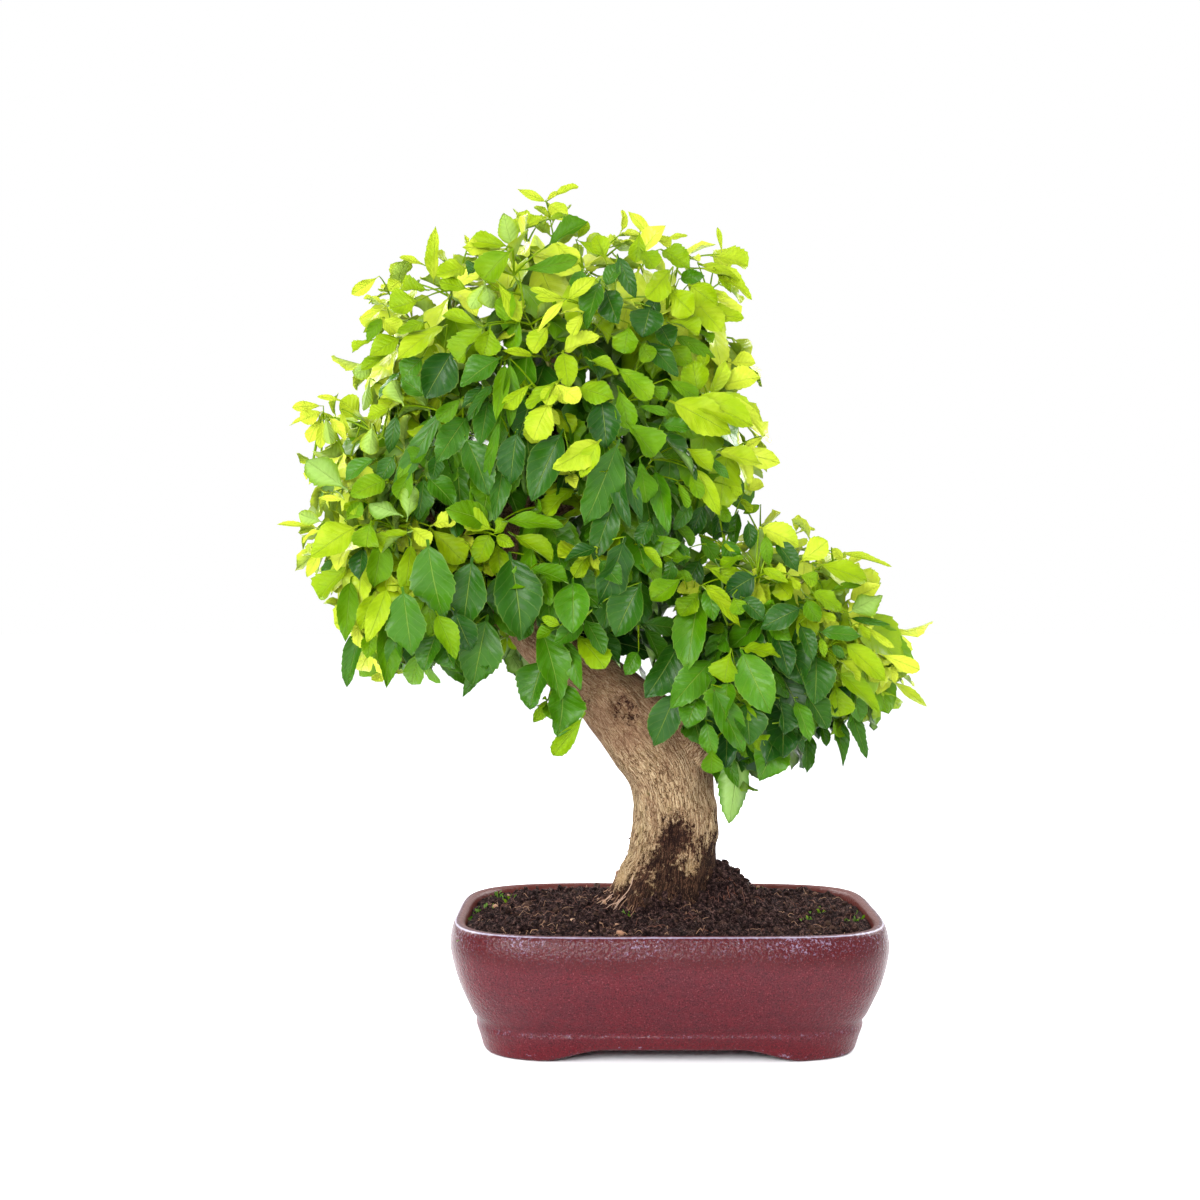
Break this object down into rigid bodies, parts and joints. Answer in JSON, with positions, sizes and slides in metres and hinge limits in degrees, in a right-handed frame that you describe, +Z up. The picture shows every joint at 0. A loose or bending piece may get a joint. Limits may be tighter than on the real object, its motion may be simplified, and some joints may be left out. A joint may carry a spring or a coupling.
{
  "type": "bonsai tree",
  "caption": "Duranta bonsai with a thick leaning trunk, dark mature leaves and lime young shoots, growing in a burgundy glazed ceramic pot full of soil",
  "frame": {"origin": "under the middle of the whole tree's box, on the surface that the pot's feet stand on", "axes": "+Z up; the pot's long side runs along X and the tree leans towards -X; the pictured front faces -Y"},
  "size_m": [0.3918, 0.2094, 0.503],
  "materials": {
    "pot_glaze": "gloss",
    "potting_soil": "matte",
    "bark": "matte",
    "mature_leaf": "satin",
    "young_leaf": "satin",
    "drain_net": "matte"
  },
  "bodies": {
    "root": {"pot": "pot_glaze", "drain_net_right": "drain_net", "drain_net_left": "drain_net", "soil": "potting_soil", "trunk": "bark", "mature_spray_01": "mature_leaf", "mature_spray_02": "mature_leaf", "mature_spray_03": "mature_leaf", "mature_spray_04": "mature_leaf", "mature_spray_05": "mature_leaf", "mature_spray_06": "mature_leaf", "mature_spray_07": "mature_leaf", "mature_spray_08": "mature_leaf", "mature_spray_09": "mature_leaf", "mature_spray_10": "mature_leaf", "mature_spray_11": "mature_leaf", "mature_spray_12": "mature_leaf", "mature_spray_13": "mature_leaf", "mature_spray_14": "mature_leaf", "mature_spray_15": "mature_leaf", "mature_spray_16": "mature_leaf", "mature_spray_17": "mature_leaf", "mature_spray_18": "mature_leaf", "mature_spray_19": "mature_leaf", "mature_spray_20": "mature_leaf", "mature_spray_21": "mature_leaf", "mature_spray_22": "mature_leaf", "mature_spray_23": "mature_leaf", "mature_spray_24": "mature_leaf", "mature_spray_25": "mature_leaf", "mature_spray_26": "mature_leaf", "young_shoot_01": "young_leaf", "young_shoot_02": "young_leaf", "young_shoot_03": "young_leaf", "young_shoot_04": "young_leaf", "young_shoot_05": "young_leaf", "young_shoot_06": "young_leaf", "young_shoot_07": "young_leaf", "young_shoot_08": "young_leaf", "young_shoot_09": "young_leaf", "young_shoot_10": "young_leaf", "young_shoot_11": "young_leaf", "young_shoot_12": "young_leaf", "young_shoot_13": "young_leaf", "young_shoot_14": "young_leaf", "young_shoot_15": "young_leaf", "young_shoot_16": "young_leaf", "young_shoot_17": "young_leaf", "young_shoot_18": "young_leaf", "young_shoot_19": "young_leaf", "young_shoot_20": "young_leaf", "young_shoot_21": "young_leaf", "young_shoot_22": "young_leaf", "young_shoot_23": "young_leaf", "young_shoot_24": "young_leaf", "young_shoot_25": "young_leaf", "young_shoot_26": "young_leaf", "young_shoot_27": "young_leaf"}
  },
  "joints": []
}
